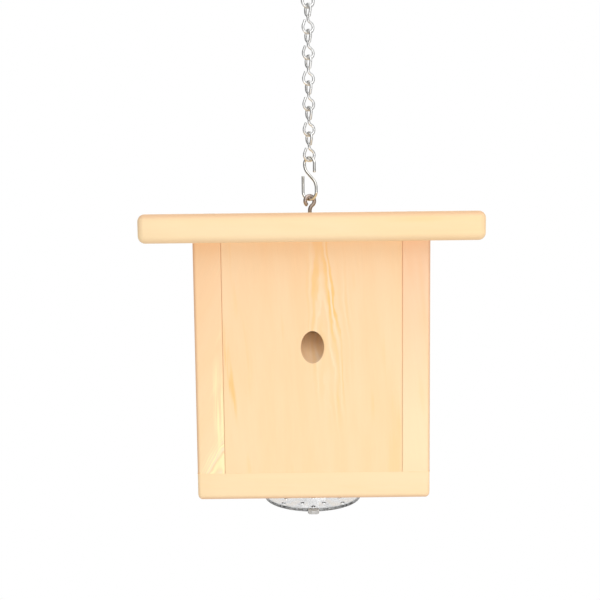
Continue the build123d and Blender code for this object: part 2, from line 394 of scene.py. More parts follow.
# %% [markdown]
# ## Wire: chain, hooks and screw eye
# Everything the trap hangs on is bent from round wire. A curve object with a bevel would give the
# same tube, but the wire's path is so simple, lines and arcs in one plane, that the tube can be
# worked out directly: at each point of the path stands a circle, spanned by the normal of the plane
# in which the wire is bent and by the direction square to both. Sheared ends are rounded a little.

# %% Round wire along a path
WIRE_SIDES = 16
END_INWARD = np.array([0.0, 0.12, 0.4])
END_WIDTH = np.array([0.7, 0.9, 1.0])


def wire_skin(path, across, radius, spin=0.0):
    """Round skin along a path: point + radius (cos t across + sin t (tangent x across)), for t all round.

    across is the bending plane's normal at each point, and spin turns the circle's start there. The
    first and last points are tripled, drawn inward and narrowed, which rounds the sheared ends.
    """
    tangent = np.gradient(path, axis=0)
    tangent /= np.linalg.norm(tangent, axis=1, keepdims=True)
    tripled = np.r_[0, 0, np.arange(len(path)), -1, -1]
    across = np.broadcast_to(across, path.shape)[tripled]
    spin = np.broadcast_to(spin, len(path))[tripled]
    path, tangent = path[tripled], tangent[tripled]
    inward, width = np.zeros(len(path)), np.ones(len(path))
    inward[:3], inward[-3:] = END_INWARD, -END_INWARD[::-1]
    width[:3], width[-3:] = END_WIDTH, END_WIDTH[::-1]
    path = path + radius * inward[:, None] * tangent
    turn = np.linspace(0, 2 * np.pi, WIRE_SIDES, endpoint=False)[None, :] + spin[:, None]
    square = np.cross(tangent, across)
    circle = np.cos(turn)[..., None] * across[:, None] + np.sin(turn)[..., None] * square[:, None]
    return path[:, None] + radius * width[:, None, None] * circle


print("wire has", WIRE_SIDES, "sides, and its ends narrow to", END_WIDTH.min(), "of its width")


# %% [markdown]
# Wire is bent round pins, so its path is made of arcs. A Bezier curve comes close to an arc but is never
# quite round, and two bends that seat in each other should be. Paths are worked out flat and then set
# in an upright plane. A loop, for a link or for the eye, is a neck arc and a ring that touch.

# %% Arcs and loops
NECK_STEPS, RING_STEPS, TIP_STEPS = 8, 40, 9


def arc(centre, radius, start, end, steps):
    """Points of an arc in a plane, from one angle to another, in degrees."""
    angle = np.radians(np.linspace(start, end, steps))
    return np.stack([centre[0] + radius * np.cos(angle), centre[1] + radius * np.sin(angle)], axis=-1)


def plane_normal(turn):
    """Level normal of the upright plane at an angle of turn degrees from X."""
    return np.array([-np.sin(radians(turn)), np.cos(radians(turn)), 0.0])


def upright(flat, turn, height):
    """Flat points (out, up) set in the upright plane at the angle turn, with up counted from a height."""
    out, up = flat[:, 0], flat[:, 1]
    return np.stack([out * np.cos(radians(turn)), out * np.sin(radians(turn)), height + up], axis=-1)


def loop(ring, neck, sweep, tip=0.0):
    """A wire loop as flat points (out, up): a neck arc leaves the upright waist, then a ring goes round.

    The neck's arc of radius n and the ring of radius r touch where the angle's cosine is n / (r + n),
    and the ring's centre stands the square root of r r + 2 r n above the waist. The free end may run
    on straight, along the ring's last tangent, for the length tip.
    """
    centre = sqrt(ring**2 + 2 * ring * neck)
    meet = np.degrees(acos(neck / (ring + neck)))
    neck_arc = arc((neck, 0), neck, 180, 180 - meet, NECK_STEPS)
    ring_arc = arc((0, centre), ring, -meet, -meet + sweep, RING_STEPS)[1:]
    end = radians(sweep - meet)
    run = np.linspace(0, tip, TIP_STEPS)[1:, None] if tip else np.empty((0, 1))
    return np.concatenate([neck_arc, ring_arc, ring_arc[-1] + run * (-np.sin(end), np.cos(end))])


print("a wire loop has", NECK_STEPS + RING_STEPS + TIP_STEPS - 2, "points on its centreline")


# %% [markdown]
# A jack chain link is one wire with a loop at each end, the two loops at right angles. Two torus rings
# would look alike from afar, but a real link's wire runs on through its waist. So the lower loop is
# walked backwards from its tip to the waist and the upper one forwards, and the whole link is one
# path. At the waist the bending plane turns by 90 degrees, and the circle's start turns back by the
# same, so the skin doesn't twist.

# %% Six chain links
LINK_WIRE = 2.0 * MM
LINK_RING = 4.1 * MM
LINK_REACH = 20.7 * MM
LINK_SWEEP = 268.5
LINK_TIP = 4.0 * MM
LINK_TURN = 25
LINKS = 6


def make_link(number):
    """Link of jack chain: two loops at right angles, standing on the lowest point of its solid."""
    node = f"chain_link_{number}"
    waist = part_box(node)[0].z + (LINK_WIRE + LINK_REACH) / 2
    ring_rise = LINK_REACH / 2 - LINK_RING
    neck = (ring_rise**2 - LINK_RING**2) / (2 * LINK_RING)
    flat = loop(LINK_RING, neck, LINK_SWEEP, LINK_TIP)
    lower = upright(flat * (1, -1), LINK_TURN, waist)[::-1]
    upper = upright(flat, LINK_TURN + 90, waist)[1:]
    normals = np.concatenate([np.tile(plane_normal(LINK_TURN), (len(lower), 1)),
                              np.tile(plane_normal(LINK_TURN + 90), (len(upper), 1))])
    spin = np.repeat([0.0, -np.pi / 2], (len(lower), len(upper)))
    skin = wire_skin(np.concatenate([lower, upper]), normals, LINK_WIRE / 2, spin)
    link = add_mesh(f"jack_link_{number}", [skin])
    return stand_for(link, node, node)


links = [make_link(number + 1) for number in range(LINKS)]
print("links:", len(links), "each with", len(links[0].data.polygons), "faces")


# %% [markdown]
# An S-hook is a small bend and a large bend joined by a slanting shank with two soft knees. A curve
# drawn by eye would look right, but arcs of known radius keep each bend seated on the wire that it
# hangs on. The same flat path makes both hooks. The hanger is the lower hook turned upside down, so
# that its large bend is at the top, where it takes a nail or a cup hook.

# %% Two S-hooks
HOOK_WIRE = 2.2 * MM
HOOK_REACH = 31 * MM
SMALL_BEND, LARGE_BEND = 4.4 * MM, 5.9 * MM
SMALL_TIP, LARGE_TIP = 11.0 * MM, 17.6 * MM
KNEE_HIGH, KNEE_LOW, KNEE_ROUND = 8.6 * MM, 18.8 * MM, 9.0 * MM
HOOK_TURN = -35


def line(start, end, steps):
    """Evenly spaced points from one flat point towards another, without the last."""
    return np.linspace(start, end, steps, endpoint=False)


def s_hook():
    """Flat path (out, up) of an S-hook, with the top of its small bend at the origin.

    A knee between the upright and the slant turns by the slant's angle d from upright, and starts
    KNEE_ROUND tan(d / 2) before the corner.
    """
    slant = np.arctan2(SMALL_BEND + LARGE_BEND, KNEE_LOW - KNEE_HIGH)
    cut = KNEE_ROUND * np.tan(slant / 2)
    level = LARGE_BEND - HOOK_REACH
    turn = np.degrees(slant)
    upper_knee = arc((-SMALL_BEND + KNEE_ROUND, -KNEE_HIGH + cut), KNEE_ROUND, 180, 180 + turn, steps=11)
    lower_knee = arc((LARGE_BEND - KNEE_ROUND, -KNEE_LOW - cut), KNEE_ROUND, turn, 0, steps=11)
    return np.concatenate([
        line((SMALL_BEND, -SMALL_TIP), (SMALL_BEND, -SMALL_BEND), steps=6),
        arc((0, -SMALL_BEND), SMALL_BEND, 0, 180, steps=26),
        upper_knee,
        line(upper_knee[-1], lower_knee[0], steps=8)[1:],
        lower_knee,
        arc((0, level), LARGE_BEND, 0, -180, steps=30),
        line((-LARGE_BEND, LARGE_TIP - HOOK_REACH), (-LARGE_BEND, level), steps=8)[::-1],
    ])


hook_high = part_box("lower_hook")[1].z - HOOK_WIRE / 2
lower_path = upright(s_hook(), HOOK_TURN, hook_high)
lower_hook = add_mesh("s_hook", [wire_skin(lower_path, plane_normal(HOOK_TURN), HOOK_WIRE / 2)])
stand_for(lower_hook, "lower_hook", "lower_hook")

hanger_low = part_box("hanger")[0].z + HOOK_WIRE / 2
hanger_path = upright(s_hook() * (-1, -1), LINK_TURN, hanger_low)
hanger = add_mesh("hanger_hook", [wire_skin(hanger_path, plane_normal(LINK_TURN), HOOK_WIRE / 2)])
stand_for(hanger, "hanger", "hanger")
print("hooks:", len(lower_hook.data.polygons), "faces each, seats at",
      round(hook_high, 4), round(hanger_low, 4))


# %% [markdown]
# The screw eye is thicker wire: a shank that goes into the roof, a neck and a ring that doesn't quite
# close. A torus on a cylinder would have a hard corner at the neck, so it is the link's loop again,
# with a straight shank below it.

# %% Screw eye
EYE_WIRE = 2.9 * MM
EYE_RING = 3.75 * MM
EYE_NECK = 5.0 * MM
EYE_SWEEP = 292
EYE_HEIGHT = 13.8 * MM
EYE_TURN = 25

eye_low, eye_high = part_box("screw_eye")
eye_flat = loop(EYE_RING, EYE_NECK, EYE_SWEEP)
ring_rise = sqrt(EYE_RING**2 + 2 * EYE_RING * EYE_NECK)
eye_waist = roof_high.z + EYE_HEIGHT - EYE_WIRE / 2 - EYE_RING - ring_rise
shank = line((0, eye_low.z - eye_waist), (0, 0), steps=8)
eye_path = upright(np.concatenate([shank, eye_flat]), EYE_TURN, eye_waist)
screw_eye = add_mesh("roof_eye", [wire_skin(eye_path, plane_normal(EYE_TURN), EYE_WIRE / 2)])
stand_for(screw_eye, "screw_eye", "trap")
print("screw eye:", round((eye_high.z - roof_high.z) / MM, 1), "mm above the roof")


# %% [markdown]
# ## Collar and dish
# The dish pushes up into a plastic collar under the base. Both are turned shapes: a profile carried
# round the upright axis. A Screw modifier could turn it, but here the rings are worked out at once.
# The corners of the profile are rounded by small arcs, because plastic shows its edges by the light
# on them. The collar comes first. Its profile closes on itself, so its grid wraps round.

# %% Turned shapes and the collar
AROUND = 96


def rounded_profile(corners, rounds, steps=5):
    """Profile with its corners rounded: each corner gives way to an arc between its two tangent points.

    With f the angle at the corner, the arc of radius r starts r / tan(f / 2) from it, and its centre
    lies r / sin(f / 2) along the bisector. The two end points stay sharp.
    """
    corners = np.array(corners, dtype=float)
    here = corners[1:-1]
    rounds = np.array(rounds, dtype=float)[:, None]
    back, ahead = corners[:-2] - here, corners[2:] - here
    back /= np.linalg.norm(back, axis=1, keepdims=True)
    ahead /= np.linalg.norm(ahead, axis=1, keepdims=True)
    half_angle = np.arccos(np.clip((back * ahead).sum(axis=1, keepdims=True), -1, 1)) / 2
    bisector = back + ahead
    bisector /= np.linalg.norm(bisector, axis=1, keepdims=True)
    centre = here + bisector * rounds / np.sin(half_angle)
    first = here + back * rounds / np.tan(half_angle) - centre
    last = here + ahead * rounds / np.tan(half_angle) - centre
    sweep = (np.pi - 2 * half_angle)[:, None]
    share = np.linspace(0, 1, steps)[None, :, None]
    arcs = centre[:, None] + (np.sin((1 - share) * sweep) * first[:, None]
                              + np.sin(share * sweep) * last[:, None]) / np.sin(sweep)
    return np.concatenate([corners[:1], arcs.reshape(-1, 2), corners[-1:]])


def turned(profile, around=AROUND):
    """Rings of a profile (radius, height) carried round the Z axis: radius cos t, radius sin t, height."""
    turn = np.linspace(0, 2 * np.pi, around, endpoint=False)
    radius, height = profile[:, :1], profile[:, 1:]
    return np.stack([radius * np.cos(turn), radius * np.sin(turn), height + 0 * turn], axis=-1)


COLLAR_BORE = 34.0 * MM
COLLAR_WALL = 1.5 * MM
COLLAR_ROUNDS = np.array([0.6, 1.0, 0.3, 0.2, 0.5, 0.5]) * MM
FLANGE_RADIUS = 47.0 * MM
CLOSING_STEP = 0.1 * MM

collar_low, collar_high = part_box("collar")
collar_middle = (collar_low.z + collar_high.z) / 2
collar_ring = [
    (COLLAR_BORE, collar_middle),
    (COLLAR_BORE, collar_low.z),
    (FLANGE_RADIUS, collar_low.z),
    (FLANGE_RADIUS, box_low.z),
    (COLLAR_BORE + COLLAR_WALL, box_low.z),
    (COLLAR_BORE + COLLAR_WALL, collar_high.z),
    (COLLAR_BORE, collar_high.z),
    (COLLAR_BORE, collar_middle + CLOSING_STEP),
]
collar = add_mesh("dish_collar", [turned(rounded_profile(collar_ring, COLLAR_ROUNDS))], wrap=True)
stand_for(collar, "collar", "trap")
print("collar:", len(collar.data.polygons), "faces")


# %% [markdown]
# The dish is a clear cup with a narrower neck that pushes into the collar. A cylinder with its top
# taken off would have no thickness. So the profile runs up the outside, over the neck and down the
# inside, and is turned like the collar. Two flat caps close the middle of the floor.

# %% The turned cup
DISH_RADIUS = 37.7 * MM
DISH_DRAFT = 0.7 * MM
DISH_WALL = 2.0 * MM
DISH_ROUNDS = np.array([1.5, 0.6, 0.3, 0.6, 0.6, 0.5, 0.4, 1.0]) * MM
NECK_RADIUS = 33.7 * MM
SHOULDER_DROP = 2.8 * MM
FLOOR_EYE = 6.0 * MM

dish_low, dish_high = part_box("catch_dish")
foot_radius = DISH_RADIUS - DISH_DRAFT
shoulder = box_low.z - SHOULDER_DROP
floor_top = dish_low.z + DISH_WALL
dish_corners = [
    (FLOOR_EYE, dish_low.z),
    (foot_radius, dish_low.z),
    (DISH_RADIUS, shoulder),
    (NECK_RADIUS, shoulder),
    (NECK_RADIUS, dish_high.z),
    (NECK_RADIUS - DISH_WALL, dish_high.z),
    (NECK_RADIUS - DISH_WALL, shoulder - DISH_WALL),
    (DISH_RADIUS - DISH_WALL, shoulder - DISH_WALL),
    (foot_radius - DISH_WALL, floor_top),
    (FLOOR_EYE, floor_top),
]
dish = add_mesh("clear_dish", [turned(rounded_profile(dish_corners, DISH_ROUNDS))])
print("turned cup:", len(dish.data.polygons), "faces")


# %% [markdown]
# Drain holes in the dish's floor and a thumb lug in front break the turned form. Weaving them into its
# grid would take long. Two Boolean modifiers make them instead and are applied at once, because a flat
# floor doesn't show the thin faces that they leave. Drills and lug overlap the dish by a millimetre or
# more, so that they cut and join cleanly.

# %% Drain holes and thumb lug
DRAIN_RADIUS = 1.5 * MM
DRAIN_SIDES = 20
DRAIN_RINGS = ((12.5 * MM, 8, 0.0), (23.2 * MM, 9, 10.0), (30.5 * MM, 8, 0.0))
LUG_WIDTH, LUG_REACH, LUG_THICK, LUG_ROUND = 8.2 * MM, 5.2 * MM, 3.0 * MM, 2.2 * MM
LUG_LEVELS = (0.0, 0.3 * MM, 2.5 * MM, LUG_THICK)
LUG_SHRINK = (0.93, 1.0, 1.0, 0.9)
OVERLAP = 1.0 * MM
DISH_CREASE = 35

places = np.concatenate([
    radius * np.stack([np.cos(t), np.sin(t)], axis=-1)
    for radius, count, start in DRAIN_RINGS
    for t in [np.radians(start) + np.linspace(0, 2 * np.pi, count, endpoint=False)]
])
drill = np.array([(DRAIN_RADIUS, dish_low.z - OVERLAP), (DRAIN_RADIUS, floor_top + OVERLAP)])
drill = turned(drill, DRAIN_SIDES)
drains = add_mesh("drain_drill", [drill + (*place, 0) for place in places])

lug_flat, _ = rounded_rectangle(LUG_WIDTH / 2, LUG_REACH / 2 + OVERLAP, LUG_ROUND, LUG_ROUND,
                                arc_steps=6, edge_steps=2)
lug_middle = -foot_radius - LUG_REACH / 2 + OVERLAP
lug_rings = np.stack([
    np.column_stack([lug_flat * shrink + (0, lug_middle), np.full(len(lug_flat), dish_low.z + level)])
    for level, shrink in zip(LUG_LEVELS, LUG_SHRINK)
])
lug = add_mesh("lug_block", [lug_rings])

for operation, other in (("UNION", lug), ("DIFFERENCE", drains)):
    step = dish.modifiers.new(operation.lower(), "BOOLEAN")
    step.operation = operation
    step.object = other
finished = bpy.data.meshes.new_from_object(dish.evaluated_get(bpy.context.evaluated_depsgraph_get()))
dish.modifiers.clear()
dish.data = finished
shade_smooth(finished, DISH_CREASE)
for tool in (drains, lug):
    bpy.data.objects.remove(tool)
stand_for(dish, "catch_dish", "dish")
print("dish:", len(finished.polygons), "faces after", len(places), "drain holes and the lug")


# %% [markdown]
# ## Nails and screws
# Small, but they tell how the box was put together: screws through the roof into the sides, nails
# through the sides and the base, short screws in the collar. A cross painted on a disc would look flat
# from the side. So a head is a turned shape whose top sinks by a cross-shaped recess, and its height
# depends on both the radius and the angle.

# %% Screws and a nail
HEAD_SIDES, HEAD_RINGS = 48, 18
HEAD_EYE = 0.04
HEAD_EDGE, HEAD_DEPTH = 0.3 * MM, 1.4 * MM
CROWN_FALL = 0.5
CROSS_ARM, CROSS_REACH, CROSS_SOFT = 0.1, 0.29, 0.03
POINT_FROM, POINT_WIDTH = 0.85, 0.05


def fastener_skin(shank, head, length, recess, proud):
    """Rings of a fastener along +Z, from the middle of its head to its tip, with the wood at height 0.

    The head's top falls from proud by the square of the radius, and sinks by recess inside a cross
    whose arms are a fifth of the head wide.
    """
    turn = np.linspace(0, 2 * np.pi, HEAD_SIDES, endpoint=False)
    share = np.linspace(HEAD_EYE, 1, HEAD_RINGS)[:, None]
    radius = head / 2 * share
    x, y = np.abs(radius * np.cos(turn)), np.abs(radius * np.sin(turn))

    def inside(value, limit):
        """1 within a share of the head's width and 0 outside it, with a soft edge."""
        return np.clip((limit * head - value) / (CROSS_SOFT * head) + 0.5, 0, 1)

    one_bar = inside(x, CROSS_ARM) * inside(y, CROSS_REACH)
    other_bar = inside(y, CROSS_ARM) * inside(x, CROSS_REACH)
    top = proud * (1 - CROWN_FALL * share**2) - recess * np.maximum(one_bar, other_bar)
    under = np.array([
        (head / 2, -HEAD_EDGE),
        (shank / 2, -HEAD_DEPTH),
        (shank / 2, -length * POINT_FROM),
        (shank * POINT_WIDTH, -length),
    ])
    crown = np.stack([radius * np.cos(turn), radius * np.sin(turn), top], axis=-1)
    return np.concatenate([crown, turned(under, HEAD_SIDES)])


roof_screw = fastener_skin(shank=3.6 * MM, head=7.4 * MM, length=41 * MM, recess=0.9 * MM, proud=0.1 * MM)
nail = fastener_skin(shank=1.8 * MM, head=4.0 * MM, length=37 * MM, recess=0.0, proud=0.2 * MM)
collar_screw = fastener_skin(shank=2.6 * MM, head=5.2 * MM, length=12 * MM, recess=0.7 * MM, proud=0.8 * MM)
print("a fastener's grid is", nail.shape)


# %% [markdown]
# Roof screws and nails go into the middle of a side board's or a panel's edge, and the collar's screws
# go up into the base. Linked copies of one mesh could stand in each place, but a set is one node of
# the frame, so each set is one mesh with a fastener at every place.

# %% Five sets of fasteners
FASTENER_ROW = 90 * MM
NAIL_SPREAD = 100 * MM
SCREW_CIRCLE = 42.6 * MM
HEAD_CREASE = 30


def fastener_group(name, node, skin, axis, places):
    """One mesh with a fastener at each place, its +Z turned to the axis that points out of the wood."""
    turn = Vector((0, 0, 1)).rotation_difference(Vector(axis)).to_matrix()
    turned_skin = skin @ np.array(turn).T
    group = add_mesh(name, [turned_skin + np.array(place) for place in places], crease=HEAD_CREASE)
    return stand_for(group, node, "trap")


side_low, side_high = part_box("right_side")
back_low, back_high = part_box("back_panel")
wall_x = side_high.x
side_x = (side_low.x + side_high.x) / 2
panel_y = (back_low.y + back_high.y) / 2
wall_middle = (roof_low.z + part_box("base_board")[1].z) / 2
rows = [(x, y) for x in (-side_x, side_x) for y in (-FASTENER_ROW / 2, FASTENER_ROW / 2)]
corners = [(y, rise) for y in (-panel_y, panel_y) for rise in (-NAIL_SPREAD / 2, NAIL_SPREAD / 2)]
quarters = np.radians([45, 135, 225, 315])
ring = SCREW_CIRCLE * np.stack([np.cos(quarters), np.sin(quarters)], axis=-1)

groups = [
    fastener_group("roof_screw_set", "roof_screws", roof_screw, Z, [(x, y, roof_high.z) for x, y in rows]),
    fastener_group("base_nail_set", "base_nails", nail, -Z, [(x, y, box_low.z) for x, y in rows]),
]
for side, out in (("left", -1), ("right", 1)):
    spots = [(out * wall_x, y, wall_middle + rise) for y, rise in corners]
    groups.append(fastener_group(f"{side}_nail_set", f"{side}_nails", nail, out * X, spots))
spots = [(x, y, collar_low.z) for x, y in ring]
groups.append(fastener_group("collar_screw_set", "collar_screws", collar_screw, -Z, spots))
print("fasteners:", [group.name for group in groups])


# %% [markdown]
# ## Shader helpers
# Materials could be wired by hand in the shader editor. In code, a few helpers make them short to read.
# One adds a node, sets its properties, and links every input that is given as another node's socket.
# The others wrap the nodes that are used most.

# %% Node helpers
def feed(tree, made, inputs):
    """Fill a node's inputs: another node's socket is linked, and any other value is set."""
    for name, value in inputs.items():
        if isinstance(value, bpy.types.NodeSocket):
            tree.links.new(value, made.inputs[name])
        else:
            made.inputs[name].default_value = value


def node(tree, kind, inputs=None, **settings):
    """Add a shader node with its settings, then its inputs."""
    made = tree.nodes.new("ShaderNode" + kind)
    for name, value in settings.items():
        setattr(made, name, value)
    feed(tree, made, inputs or {})
    return made


def maths(tree, operation, *values):
    """Output of a Math node on the given numbers or sockets."""
    return node(tree, "Math", dict(enumerate(values)), operation=operation).outputs[0]


def vector_maths(tree, operation, *values):
    """Vector from a Vector Math node on the given vectors or sockets."""
    return node(tree, "VectorMath", dict(enumerate(values)), operation=operation).outputs["Vector"]


def stretched(tree, vector, scale):
    """A vector multiplied, axis by axis."""
    return vector_maths(tree, "MULTIPLY", vector, scale)


def vector_length(tree, vector):
    """Length of a vector."""
    return node(tree, "VectorMath", {0: vector}, operation="LENGTH").outputs["Value"]


def between(tree, value, low, high, out_low=0.0, out_high=1.0):
    """Output of a smooth step that rises from low to high."""
    inputs = {"Value": value, "From Min": low, "From Max": high, "To Min": out_low, "To Max": out_high}
    return node(tree, "MapRange", inputs, interpolation_type="SMOOTHSTEP").outputs["Result"]


def mix(tree, factor, a, b, blend="MIX"):
    """Output of a colour Mix node, whose colours are its inputs 6 and 7 and its output 2."""
    inputs = {0: factor, 6: a, 7: b}
    return node(tree, "Mix", inputs, data_type="RGBA", blend_type=blend).outputs[2]


def noise(tree, vector, scale, detail=2.0, roughness=0.5):
    """Value of a noise texture at a vector."""
    inputs = {"Vector": vector, "Scale": scale, "Detail": detail, "Roughness": roughness}
    return node(tree, "TexNoise", inputs).outputs["Fac"]


def seen_from(tree, vector, middle, lay, size):
    """A vector in a pattern's own axes: from its middle, turned by lay in degrees, over its size."""
    turn = tuple(radians(angle) for angle in lay)
    inputs = {"Vector": vector, "Location": middle, "Rotation": turn, "Scale": size}
    return node(tree, "Mapping", inputs, vector_type="TEXTURE").outputs["Vector"]


print("node helpers ready in Blender", bpy.app.version_string)


# %% [markdown]
# A node group is built once, with named sockets, and placed in many materials. Copying its nodes into
# each material would look the same, but a change would then have to be made in every copy. Each
# material has one Principled shader of its own, which is fed a colour, a roughness and a bump.

# %% Groups and materials
def srgb(red, green, blue):
    """A colour as it looks on screen, 0 to 255, turned into the linear values that shaders use."""
    value = np.array([red, green, blue]) / 255
    linear = np.where(value <= 0.04045, value / 12.92, ((value + 0.055) / 1.055) ** 2.4)
    return (*linear.tolist(), 1.0)


def new_group(name, inputs, outputs):
    """An empty shader node group, with the sockets that come in and the node that takes what goes out."""
    group = bpy.data.node_groups.new(name, "ShaderNodeTree")
    for direction, sockets in (("INPUT", inputs), ("OUTPUT", outputs)):
        for label, kind in sockets.items():
            group.interface.new_socket(label, in_out=direction, socket_type=f"NodeSocket{kind}")
    return group, group.nodes.new("NodeGroupInput").outputs, group.nodes.new("NodeGroupOutput")


def placed(tree, group, inputs):
    """Outputs of a group, placed in a material with its own values."""
    return node(tree, "Group", inputs, node_tree=group).outputs


def new_material(name):
    """A material with only its output, and the Principled shader that feeds it."""
    material = bpy.data.materials.new(name)
    material.use_nodes = True
    material.node_tree.nodes.clear()
    shader = node(material.node_tree, "BsdfPrincipled")
    node(material.node_tree, "OutputMaterial", {"Surface": shader.outputs["BSDF"]})
    return material, material.node_tree, shader


def dress(tree, shader, colour, roughness, height, strength, depth):
    """Feed a shader its colour, its roughness and a bump of some strength and depth."""
    bump = node(tree, "Bump", {"Strength": strength, "Distance": depth, "Height": height})
    feed(tree, shader, {"Base Color": colour, "Roughness": roughness, "Normal": bump.outputs["Normal"]})


SURFACE = {"Color": "Color", "Roughness": "Float", "Height": "Float"}
print("a middle grey of 128 is", round(srgb(128, 128, 128)[0], 3), "in linear light")


# %% [markdown]
# ## Pine
# Pine's figure comes from the tree: rings round the pith, pale in spring and honey-brown in late
# summer, cut by the saw. A flat wood picture can't follow round an edge, so the grain here is a solid:
# the distance from the pith gives the ring, on the face, the edge and the end grain alike. A board
# sawn beside the pith, with the pith leaning a little, shows the nested arches of a cathedral figure.
# The group holds what all boards share. Each board's material sets where its pith runs.

# %% Pine rings
ACROSS = (1, 1, 0)

pine, pine_in, pine_out = new_group(
    "pine_grain",
    {"Vector": "Vector", "Bore shade": "Float", "Ring": "Float", "Figure": "Float", "Plain": "Float",
     "Sway": "Float", "Flame size": "Vector", "Spring wood": "Color", "Body wood": "Color",
     "Summer wood": "Color"},
    SURFACE,
)
grain = pine_in["Vector"]

# The ring is the distance from a swaying pith over the ring's width, with fat and lean years.
slow = stretched(pine, grain, (1, 1, 0.7))
sway = node(pine, "TexNoise", {"Vector": slow, "Scale": 45.0, "Detail": 3.0}).outputs["Color"]
sway = stretched(pine, sway, ACROSS)
sway = node(pine, "VectorMath", {0: sway, "Scale": pine_in["Sway"]}, operation="SCALE").outputs["Vector"]
swayed = vector_maths(pine, "ADD", sway, grain)
from_pith = vector_length(pine, stretched(pine, swayed, ACROSS))
year = maths(pine, "DIVIDE", from_pith, pine_in["Ring"])
weather = node(pine, "TexNoise", {"W": year, "Scale": 0.45}, noise_dimensions="1D").outputs["Fac"]
year = maths(pine, "ADD", year, weather)
season = maths(pine, "FRACT", year)

# Spring wood is palest near the start of a ring, and summer wood is darkest at three quarters of it.
summer = maths(pine, "MULTIPLY", between(pine, season, 0.15, 0.7), between(pine, season, 1.0, 0.75))
spring = maths(pine, "MULTIPLY", between(pine, season, 0.5, 0.2), between(pine, season, 0.0, 0.15))

# Rings show by each year's own strength, most within the flame, and break up along the grain.
growth = node(pine, "TexWhiteNoise", {"W": maths(pine, "FLOOR", year)}, noise_dimensions="1D")
vigour = between(pine, growth.outputs["Value"], -0.4, 1.1)
flame = vector_length(pine, vector_maths(pine, "DIVIDE", grain, pine_in["Flame size"]))
flame = between(pine, flame, 1.2, 0.2)
figure = maths(pine, "MULTIPLY_ADD", flame, pine_in["Figure"], pine_in["Plain"])
broken = noise(pine, stretched(pine, grain, (1, 1, 0.45)), scale=60.0)
for factor in (vigour, figure, between(pine, broken, 0.34, 0.66, 0.3, 1.0)):
    summer = maths(pine, "MULTIPLY", summer, factor)
    spring = maths(pine, "MULTIPLY", spring, factor)
print("pine rings:", len(pine.nodes), "nodes")


# %% [markdown]
# Beside the rings, the wood of a whole board drifts in colour, has darker stripes, and shows fine fibres.
# One noise for all of it would look like cloud, so three are stretched along the grain, each by its
# own amount. Painted shade makes the wall of a bore darker and browner towards its mouth, and planing
# leaves the fibres and the summer wood standing a little proud.

# %% Pine colour
# Painted shade in the bore: its wall is darkened by this colour towards the mouth.
BORE_SHADE = (0.64, 0.59, 0.60, 1.0)
DRIFT_SHARE, STRIPE_SHARE = 0.3, 0.25
FIBRE_SHADE = 0.05
PLANED, FIBRE_ROUGH = 0.5, 0.12
FIBRE_RISE, SUMMER_RISE = 0.6, 0.4

drift = noise(pine, stretched(pine, grain, (1, 1, 0.3)), scale=32.0, detail=3.0)
drift = maths(pine, "MULTIPLY", between(pine, drift, 0.3, 0.7), DRIFT_SHARE)
stripe = noise(pine, stretched(pine, grain, (1, 1, 0.1)), scale=70.0)
stripe = maths(pine, "MULTIPLY", between(pine, stripe, 0.6, 0.74), STRIPE_SHARE)
fibre = noise(pine, stretched(pine, grain, (1, 1, 0.02)), scale=500.0, detail=3.0, roughness=0.6)

colour = mix(pine, drift, pine_in["Body wood"], pine_in["Spring wood"])
colour = mix(pine, stripe, colour, pine_in["Summer wood"])
colour = mix(pine, summer, colour, pine_in["Summer wood"])
colour = mix(pine, spring, colour, pine_in["Spring wood"])
shade = maths(pine, "MULTIPLY_ADD", fibre, -FIBRE_SHADE, 1 + FIBRE_SHADE / 2)
shade = node(pine, "CombineColor", {0: shade, 1: shade, 2: shade}).outputs[0]
colour = mix(pine, 1.0, colour, shade, "MULTIPLY")
# The bore's wall gets its painted shade last.
feed(pine, pine_out, {
    "Color": mix(pine, pine_in["Bore shade"], colour, BORE_SHADE, "MULTIPLY"),
    "Roughness": maths(pine, "MULTIPLY_ADD", fibre, FIBRE_ROUGH, PLANED),
    "Height": maths(pine, "MULTIPLY_ADD", fibre, FIBRE_RISE, maths(pine, "MULTIPLY", summer, SUMMER_RISE)),
})
print("pine group:", len(pine.nodes), "nodes")


# %% [markdown]
# What lies over the grain is a second group. Painted shade turns the walls pinker towards the roof, a
# streak of resin may lie along the grain in fine threads, and painted shade darkens the rounded edges.
# This could be painted on each mesh. Masks that are worked out from the place keep it the same kind of
# mark on every board, and each board sets how much of it shows.

# %% The group over the grain
# Painted shade: rounded edges are darkened towards this tan.
EDGE_SHADE_TONE = srgb(228, 173, 134)
EDGE_SHADE_SHARE = 0.6
# Painted shade under the roof: the walls turn pinker towards its underside, between these heights.
ROOF_SHADE_TINT = (1.0, 0.84, 0.86, 1.0)
ROOF_SHADE_LOW, ROOF_SHADE_HIGH = roof_low.z - 146 * MM, roof_low.z - 17 * MM

marks, marks_in, marks_out = new_group(
    "pine_marks",
    {"Color": "Color", "Vector": "Vector", "Edge": "Float", "Roof shade": "Float", "Streak": "Float",
     "Streak lens": "Vector", "Streak tone": "Color"},
    {"Color": "Color"},
)
lens = between(marks, vector_length(marks, marks_in["Streak lens"]), 1.0, 0.2)
threads = noise(marks, stretched(marks, marks_in["Vector"], (1, 1, 0.06)), scale=420.0)
resin = maths(marks, "MULTIPLY", lens, between(marks, threads, 0.35, 0.6))
resin = maths(marks, "MULTIPLY", resin, marks_in["Streak"])
# Painted shade under the roof, strongest just below it.
height = node(marks, "SeparateXYZ", {0: marks_in["Vector"]}).outputs["Z"]
under_roof_shade = maths(marks, "MULTIPLY", between(marks, height, ROOF_SHADE_LOW, ROOF_SHADE_HIGH), marks_in["Roof shade"])
